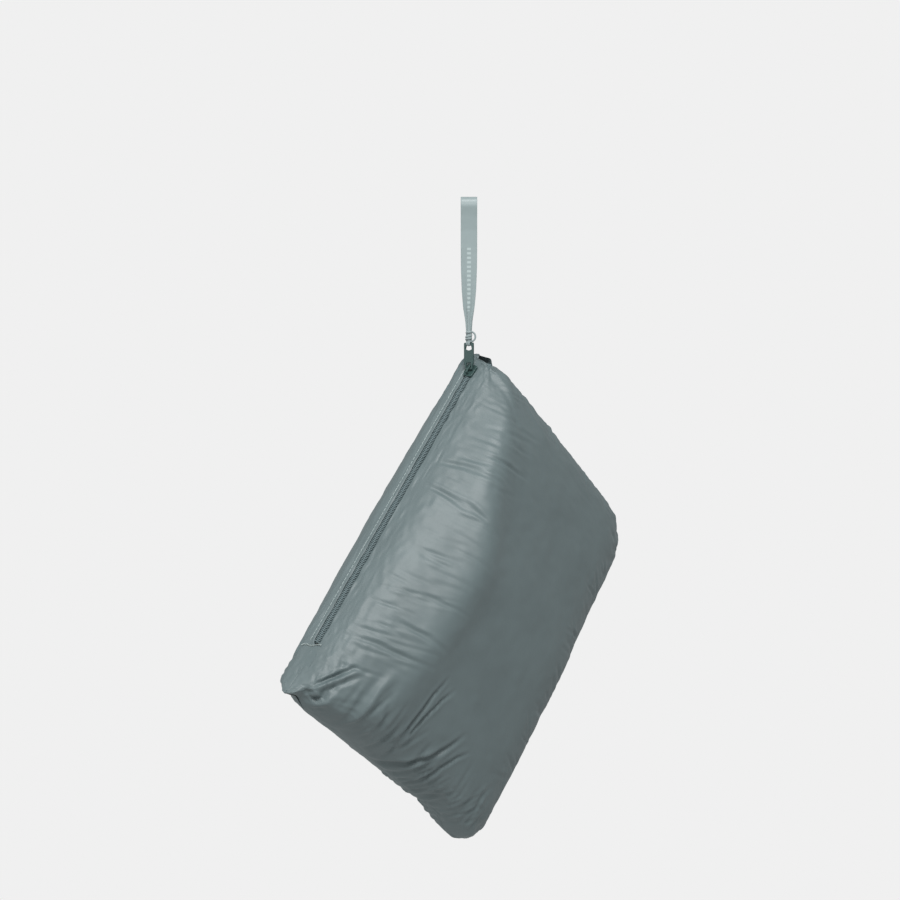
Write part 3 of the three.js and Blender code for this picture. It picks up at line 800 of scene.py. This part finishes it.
        # The hem's fold: reach from the zip's middle and level, from its raw end up to the fold.
        hem = [(edge + 2.6, 0.55), (edge + 0.5, 0.5), (edge - 0.1, 0.95)]
        lips = [sewn_form(side, np.zeros((1, 1)), along, level, reach) for reach, level in hem]
        form = np.concatenate([*lips, form], axis=1)
        if side > 0:
            form = self.ridged(form, along)
        lip_cut = np.stack([cut[:, 0] - [offset, 0] for offset in (0.004, 0.002, 0.001)], axis=1)
        cut = np.concatenate([lip_cut, cut], axis=1)
        if side < 0:
            form, cut = form[:, ::-1], cut[:, ::-1]
        mesh = applied(grid_mesh(name, form, cut), ("SUBSURF", {"levels": 2, "render_levels": 2}))
        self.press(mesh, side, settings)
        panel = add_piece(name, placed(mesh, POUCH_FRAME), fabric, "pouch", "shell_fabric", [solid])

    def ridged(self, form, along):
        """The folded quilt's edge lifts a ridge along the zip, and the panel falls away flat beyond it."""
        x, y, z = np.moveaxis(form / MM, -1, 0)
        from_top = TOP_RISE - np.minimum(z, TOP_RISE)
        ridge = 30 - 36 * np.exp(-from_top / 42) + 18 * smooth_step(-z, 60, 130)
        soft = 5 + 17 * np.clip((-z - 45) / 110, 0, 1)
        past = soft * np.log1p(np.exp((x - ridge - 4) / soft))
        foot = 20 * np.log1p(np.exp((x - 112) / 20))
        fullness = np.sin(along * math.pi)
        crest = 8 * np.exp(-((x - ridge) / 17) ** 2) * smooth_step(x, 6, 22)
        lift = (crest - 0.28 * past + 0.57 * foot) * fullness
        return np.stack([x, y - lift * smooth_step(POUCH_WIDTH - x, -8, 8), z], axis=-1) * MM

    def press(self, mesh, side, settings):
        places = read(mesh.vertices, "co", 3)
        normals = read(mesh.vertices, "normal", 3)
        flat = np.stack([places[:, 0] / MM, -places[:, 2] / MM], axis=1)
        creases = scattered_creases(5 + side)
        if side > 0:
            creases += FRONT_CREASES
        press = crease_press(flat, creases) * settings.crease_depth * MM
        across, down = read(mesh.attributes["place"].data, "vector", 2).T / MM
        seam = np.minimum(settings.cut_width / MM - across, np.minimum(down, settings.cut_length / MM - down))
        press *= smooth_step(across, 8, 14) * smooth_step(seam, 0.5, 7)
        places = places - normals * press[:, None]
        for middle, reach, push in TUCKS + FRONT_OPENINGS * (side > 0):
            off = (places / MM - middle) / reach
            places = places + np.exp(-(off * off).sum(axis=1))[:, None] * np.array(push) * MM
        mesh.vertices.foreach_set("co", places.ravel())
        mesh.update()


# ---- the zip ----------------------------------------------------------------
class QUILT_OT_zip(bpy.types.Operator):
    """Tapes, coils, stops and the sewing along the zip"""

    bl_idname = "quilt.zip"
    bl_label = "Zip"

    def execute(self, context):
        settings = context.scene.quilt_zip
        tape = object_weave("woven polyester tape", settings.tape_colour, 0.6 * MM, 0.85, 0.1 * MM, sheen=0.2)
        nylon = object_weave("moulded nylon coil", settings.coil_colour, 0.8 * MM, 0.42, 0.01 * MM)
        pale = object_weave(
            "pale polyester thread", settings.thread_colour, 0.25 * MM, 0.7, 0.05 * MM, sheen=0.2,
        )
        matched = object_weave("matched polyester thread", settings.tape_colour, 0.25 * MM, 0.7, 0.05 * MM)
        for name in ("front_zip_tape", "back_zip_tape"):
            dress(name, tape)
        for name in ("front_top_stop", "back_top_stop"):
            dress(name, nylon)
        dress("front_tape_stitch", matched)
        for side, name in ((1, "front_coil"), (-1, "back_coil")):
            coil = swept_mesh([self.coil_path(side, settings.coil_pitch)], 0.43 * MM, 1)
            add_piece(name + "_wound", placed(coil, ZIP_FRAME), nylon, "pouch", "coil_nylon", [name])
        for name, sewing in (("back_topstitch", self.topstitch()), ("bottom_bartack", self.bartack())):
            add_piece(name + "_run", placed(sewing, ZIP_FRAME), pale, "pouch", "pale_thread", [name])
        return {"FINISHED"}

    def coil_path(self, side, pitch):
        """One row's wound wire, from the bottom end to the slider: over the top and back underneath."""
        turns = int((ZIP_LENGTH * MM - 0.004) / pitch)
        path = []
        for step in range(turns * 10 + 1):
            turn = step / 10
            angle = turn * 2 * math.pi
            reach = 0.75 - 1.15 * math.cos(angle)
            height = 1.35 + 0.62 * math.sin(angle)
            along = -ZIP_LENGTH * MM + 0.002 + (turn + (0.5 if side < 0 else 0)) * pitch
            path.append((height * MM, side * reach * MM, along))
        return path

    def topstitch(self):
        """A row of single stitches along the back fabric's edge."""
        stitch, gap = 2.5, 0.7
        paths = []
        down = -7.0
        while down < ZIP_LENGTH - 4:
            rise = FABRIC_TOP + 0.12
            paths.append([
                ((rise - 0.3) * MM, -5.1 * MM, -down * MM),
                (rise * MM, -5.1 * MM, -(down + 0.35) * MM),
                (rise * MM, -5.16 * MM, -(down + stitch - 0.35) * MM),
                ((rise - 0.3) * MM, -5.16 * MM, -(down + stitch) * MM),
            ])
            down += stitch + gap
        return swept_mesh(paths, 0.23 * MM, 1)

    def bartack(self):
        """A close zigzag of thread across the strip."""
        path = []
        for step in range(41):
            t = step / 40
            reach = t * 13 - 9
            wave = 0.5 * (1 if step % 2 else -1) + 0.5 * math.sin(t * 9) + 0.26 * reach
            path.append(((FABRIC_TOP + 0.25) * MM, reach * MM, (-ZIP_LENGTH + wave) * MM))
        return swept_mesh([path], 0.27 * MM, 1)


# ---- the slider and puller --------------------------------------------------
SLIDER_LENGTH = 9.4
SLIDER_NOSE = 7.6
SLIDER_TAIL = 6.4
PLATE = 0.9
PLATE_BASE = 2.5
PLATE_TOP = 3.4
LOW_BASE = -1.5
CROWN_SPAN = 5.4
CROWN_INSIDE = 2.3
CROWN_BAR = 0.9
CROWN_WIDTH = 1.5
PULL_TOP = 17.6
PULL_HALF = 3.7


class QUILT_OT_slider(bpy.types.Operator):
    """The slider's body and crown, and the puller"""

    bl_idname = "quilt.slider"
    bl_label = "Slider"

    def execute(self, context):
        settings = context.scene.quilt_zip
        paint = object_weave(
            "sprayed enamel on die-cast zinc", settings.slider_colour, 0.5 * MM, 0.36, 0.01 * MM,
            metallic=0.15, vary=0.04,
        )
        add_piece("slider_body_cast", self.body(), paint, "slider", "painted_slider", ["slider_body"])
        add_piece("slider_crown_cast", self.crown(), paint, "slider", "painted_slider", ["slider_crown"])
        add_piece("puller_cast", self.puller(), paint, "puller", "painted_slider", ["zip_puller"])
        return {"FINISHED"}

    def level(self, plate, height):
        """A flat plate laid in the zip frame, its middle at a height above the tape."""
        flat_to_zip = Matrix(((0, 0, 1, 0), (1, 0, 0, 0), (0, 1, 0, 0), (0, 0, 0, 1)))
        return placed(plate, ZIP_FRAME @ Matrix.Translation((height * MM, 0, 0)) @ flat_to_zip)

    def body(self):
        parts = []
        half, nose, tail = SLIDER_LENGTH / 2, SLIDER_NOSE / 2, SLIDER_TAIL / 2
        outline = [(-tail, -half), (tail, -half), (nose, half), (-nose, half)]
        for base in (PLATE_BASE, LOW_BASE):
            plate = plate_mesh([rounded(outline, 1.5)], PLATE * MM, 0.28 * MM)
            parts.append(self.level(plate, base + PLATE / 2))
        end = half - 0.5
        for side in (1, -1):
            wall, low, high = 0.9 * side, tail * side, nose * side
            corners = [(low - wall, -end), (low, -end), (high, end), (high - wall, end)]
            rail = plate_mesh([rounded(corners, 0.3)], 2.1 * MM, 0.12 * MM)
            parts.append(self.level(rail, PLATE_BASE - 0.7))
        wedge = [(0, 1.3), (1, 3.0), (0.8, 4.4), (-0.8, 4.4), (-1, 3.0)]
        post = plate_mesh([rounded(wedge, 0.3)], 3.6 * MM, 0.1 * MM)
        parts.append(self.level(post, 0.95))
        return joined(parts)

    def crown(self):
        outer = CROWN_SPAN / 2 + CROWN_BAR
        inner = CROWN_SPAN / 2
        top = CROWN_INSIDE + CROWN_BAR
        corners = [
            (-outer, -0.3), (-outer, top - 0.9), (-outer + 1.3, top),
            (outer - 1.3, top), (outer, top - 0.9), (outer, -0.3),
            (inner, -0.3), (inner, CROWN_INSIDE - 0.7), (inner - 0.8, CROWN_INSIDE),
            (-inner + 0.8, CROWN_INSIDE), (-inner, CROWN_INSIDE - 0.7), (-inner, -0.3),
        ]
        arch = plate_mesh([rounded(corners, 0.5)], CROWN_WIDTH * MM, 0.25 * MM)
        # The arch is drawn with the zip's length along x and its height along y.
        stand = Matrix(((0, 1, 0, (PLATE_TOP + 0.05) * MM), (0, 0, 1, 0), (1, 0, 0, 0), (0, 0, 0, 1)))
        return placed(arch, ZIP_FRAME @ stand)

    def puller(self):
        half, top = PULL_HALF, PULL_TOP
        corners = [
            (-2.8, -0.55), (2.8, -0.55), (2.8, 2.2), (half, 3.6),
            (half, top), (-half, top), (-half, 3.6), (-2.8, 2.2),
        ]
        window = [(-1.7, 0.55), (-1.7, 4.0), (1.7, 4.0), (1.7, 0.55)]
        hole = [(-1.7, top - 1.4), (1.7, top - 1.4), (2.5, top - 4.6), (0, top - 5.4), (-2.5, top - 4.6)]
        outlines = [rounded(corners, 1.0), rounded(window, 0.5), rounded(hole, 0.8)]
        plate = plate_mesh(outlines, 1.3 * MM, 0.35 * MM)
        axis = Vector(JOINTS["puller_swing"]["axis"]).normalized()
        turn = Matrix.Rotation(math.atan2(axis.y, axis.x), 4, "Z") @ Matrix.Rotation(math.radians(90), 4, "X")
        return placed(plate, Matrix.Translation(JOINTS["puller_swing"]["pos_m"]) @ turn)


# ---- the ribbon -------------------------------------------------------------
class QUILT_OT_ribbon(bpy.types.Operator):
    """The satin ribbon, looped through the puller and knotted above it"""

    bl_idname = "quilt.ribbon"
    bl_label = "Ribbon"

    def execute(self, context):
        settings = context.scene.quilt_ribbon
        satin = satin_ribbon(settings.colour, settings.bar_colour)
        path, widths, turns, folds = self.course()
        columns = 13
        across = np.linspace(-0.5, 0.5, columns)
        rows = len(path)
        points = np.zeros((rows, columns, 3))
        cut = np.zeros((rows, columns, 2))
        along = np.concatenate([[0], np.cumsum(np.linalg.norm(np.diff(path, axis=0), axis=1))])
        for i in range(rows):
            ahead = path[min(rows - 1, i + 1)] - path[max(0, i - 1)]
            ahead /= np.linalg.norm(ahead)
            wide = np.array([math.cos(turns[i]), math.sin(turns[i]), 0.0])
            out = np.cross(wide, ahead)
            lift = folds[i] * (np.cos(across * 2 * math.pi * 1.5) - 0.2)
            points[i] = path[i] + np.outer(across * widths[i], wide) + np.outer(lift, out)
            cut[i, :, 0] = across * settings.width
            cut[i, :, 1] = along[i]
        band = applied(
            grid_mesh("ribbon", points, cut),
            ("SUBSURF", {"levels": 1, "render_levels": 1}),
            ("SOLIDIFY", {"thickness": 0.35 * MM, "offset": 0.0}),
        )
        ribbon = add_piece("hang_ribbon_satin", band, satin, "ribbon", "ribbon_satin", ["hang_ribbon"])
        gathered = object_weave(
            "gathered polyester satin", settings.colour, 0.6 * MM, 0.4, 0.12 * MM, sheen=0.2,
        )
        knot = add_piece("hang_ribbon_knot", self.knot(), gathered, "ribbon", "ribbon_satin")
        return {"FINISHED"}

    def knot(self):
        """Loose wraps round the gathered neck, with a small loop that stands off one side."""
        bar = JOINTS["ribbon_swing"]["pos_m"][2]
        path = []
        for step in range(61):
            turn = step / 60 * 3.2
            angle = turn * 2 * math.pi + 0.6
            sway = 0.25 * math.sin(turn * 5.1)
            rise = 1.7 + turn * 2.15 + 0.3 * math.sin(angle * 0.5)
            wide, deep = (1.55 + sway) * MM, (1.75 - sway) * MM
            path.append((wide * math.cos(angle), deep * math.sin(angle), bar + rise * MM))
        wraps = swept_mesh([path], 0.85 * MM, 2)
        loop = []
        for step in range(17):
            angle = math.pi * (step / 16 * 1.3 - 0.65)
            out, rise = 1.3 + 3.0 * math.cos(angle), 4.6 + 3.2 * math.sin(angle)
            loop.append((out * MM, -0.9 * MM, bar + rise * MM))
        return joined([wraps, swept_mesh([loop], 0.6 * MM, 2)])

    def course(self):
        """Middle line of the band, its width, its turn about the plumb line and the depth of its gathers."""
        axis = Vector(JOINTS["puller_swing"]["axis"])
        neck_turn = math.atan2(axis.y, axis.x)
        bar = JOINTS["ribbon_swing"]["pos_m"][2] / MM
        stations = [
            # depth y, height z, width, share of the neck's turn, gather depth
            (-1.45, bar - 0.3, 3.0, 1.0, 0.25), (-1.2, bar + 2.0, 3.2, 1.0, 0.3),
            (-0.95, bar + 8, 3.4, 0.95, 0.35), (-0.8, bar + 15, 4.6, 0.75, 0.6),
            (-0.7, bar + 24, 7.6, 0.4, 0.7), (-0.6, bar + 36, 9.6, 0.15, 0.35),
            (-0.5, bar + 50, 10.7, 0.05, 0.12), (-0.5, bar + 64, 11, 0, 0.05), (-0.7, bar + 76, 11, 0, 0),
            (-1.8, bar + 86, 11, 0, 0), (-3.1, bar + 92, 11, 0, 0), (-2.6, bar + 96.5, 11, 0, 0),
            (0, bar + 98.6, 11, 0, 0), (2.6, bar + 96.5, 11, 0, 0), (3.1, bar + 92, 11, 0, 0),
            (1.8, bar + 86, 11, 0, 0), (0.7, bar + 76, 11, 0, 0), (0.5, bar + 64, 11, 0, 0.05),
            (0.5, bar + 50, 10.6, 0.05, 0.12), (0.6, bar + 36, 9.4, 0.15, 0.35),
            (0.7, bar + 24, 7.2, 0.4, 0.7), (0.8, bar + 15, 4.4, 0.75, 0.6),
            (0.95, bar + 8, 3.3, 0.95, 0.35), (1.2, bar + 2.0, 3.1, 1.0, 0.3),
            (1.45, bar - 0.3, 3.0, 1.0, 0.25), (0.9, bar - 1.5, 3.0, 1.0, 0.2),
            (0, bar - 1.75, 3.0, 1.0, 0.2), (-0.9, bar - 1.5, 3.0, 1.0, 0.2),
            (-1.45, bar - 0.3, 3.0, 1.0, 0.25),
        ]
        table = np.array(stations)
        knots = np.concatenate([[0], np.cumsum(np.linalg.norm(np.diff(table[:, :2], axis=0), axis=1))])
        steps = np.linspace(0, knots[-1], 230)
        depth, height, width, share, gather = (np.interp(steps, knots, table[:, i]) for i in range(5))
        for values in (depth, height, width, share, gather):
            values[1:-1] = np.convolve(values, [0.25, 0.5, 0.25], "valid")
        turns = neck_turn * share
        path = np.stack([-depth * np.sin(turns), depth * np.cos(turns), height], axis=1) * MM
        return path, width * MM, turns, gather * MM


# ---- the quilt inside -------------------------------------------------------
QUILT_PIECES = (
    "quilt_fill", "quilt_face_fabric", "quilt_lining", "quilt_binding_start", "quilt_binding_end",
)


class QUILT_OT_inside(bpy.types.Operator):
    """Finishes for the folded quilt and the end facings, which stay under the fabric"""

    bl_idname = "quilt.inside"
    bl_label = "Quilt inside"

    def execute(self, context):
        colour = context.scene.quilt_pouch.colour
        cloth = object_weave("plain nylon taffeta", colour, 0.9 * MM, 0.46, 0.08 * MM, sheen=0.2)
        batting = object_weave("bonded polyester batting", "#e8e8e4", 2.5 * MM, 0.95, 0.5 * MM, sheen=0.3)
        for name in ("top_end_facing", "bottom_end_facing"):
            dress(name, cloth)
        # The quilt lies pressed a little smaller than its solids, clear of the settled fabric.
        middle = Matrix.Translation((92 * MM, 0, -118 * MM))
        squeeze = middle @ Matrix.Diagonal((0.82, 0.60, 0.86, 1)) @ middle.inverted()
        pressed = POUCH_FRAME @ squeeze @ POUCH_FRAME.inverted()
        for name in QUILT_PIECES:
            finish, slot = (batting, "quilt_fill") if name == "quilt_fill" else (cloth, "quilt_fabric")
            mesh = placed(frame["nodes"][name].data.copy(), pressed)
            layer = add_piece(name + "_pressed", mesh, finish, "pouch", slot, [name])
        return {"FINISHED"}


# ---- panel and start-up -----------------------------------------------------
GROUPS = {
    "quilt_pouch": PouchSettings, "quilt_zip": ZipSettings,
    "quilt_ribbon": RibbonSettings, "quilt_stage": StageSettings,
}
STEPS = (QUILT_OT_stage, QUILT_OT_pouch, QUILT_OT_zip, QUILT_OT_slider, QUILT_OT_ribbon, QUILT_OT_inside)


class QUILT_PT_panel(bpy.types.Panel):
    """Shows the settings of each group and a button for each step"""

    bl_label = "Packed quilt"
    bl_idname = "QUILT_PT_panel"
    bl_space_type = "VIEW_3D"
    bl_region_type = "UI"
    bl_category = "Quilt"

    def draw(self, context):
        for name in GROUPS:
            group = getattr(context.scene, name)
            box = self.layout.box()
            for field in group.bl_rna.properties:
                if field.identifier not in ("rna_type", "name"):
                    box.prop(group, field.identifier)
        for step in STEPS:
            self.layout.operator(step.bl_idname)


def register():
    for group in GROUPS.values():
        bpy.utils.register_class(group)
    for name, group in GROUPS.items():
        setattr(bpy.types.Scene, name, bpy.props.PointerProperty(type=group))
    for step in (*STEPS, QUILT_PT_panel):
        bpy.utils.register_class(step)


def unregister():
    for step in reversed((*STEPS, QUILT_PT_panel)):
        bpy.utils.unregister_class(step)
    for name in GROUPS:
        delattr(bpy.types.Scene, name)
    for group in reversed(tuple(GROUPS.values())):
        bpy.utils.unregister_class(group)


def main():
    register()
    bpy.ops.quilt.stage()
    bpy.ops.quilt.pouch()
    bpy.ops.quilt.zip()
    bpy.ops.quilt.slider()
    bpy.ops.quilt.ribbon()
    bpy.ops.quilt.inside()


if __name__ == "__main__":
    main()
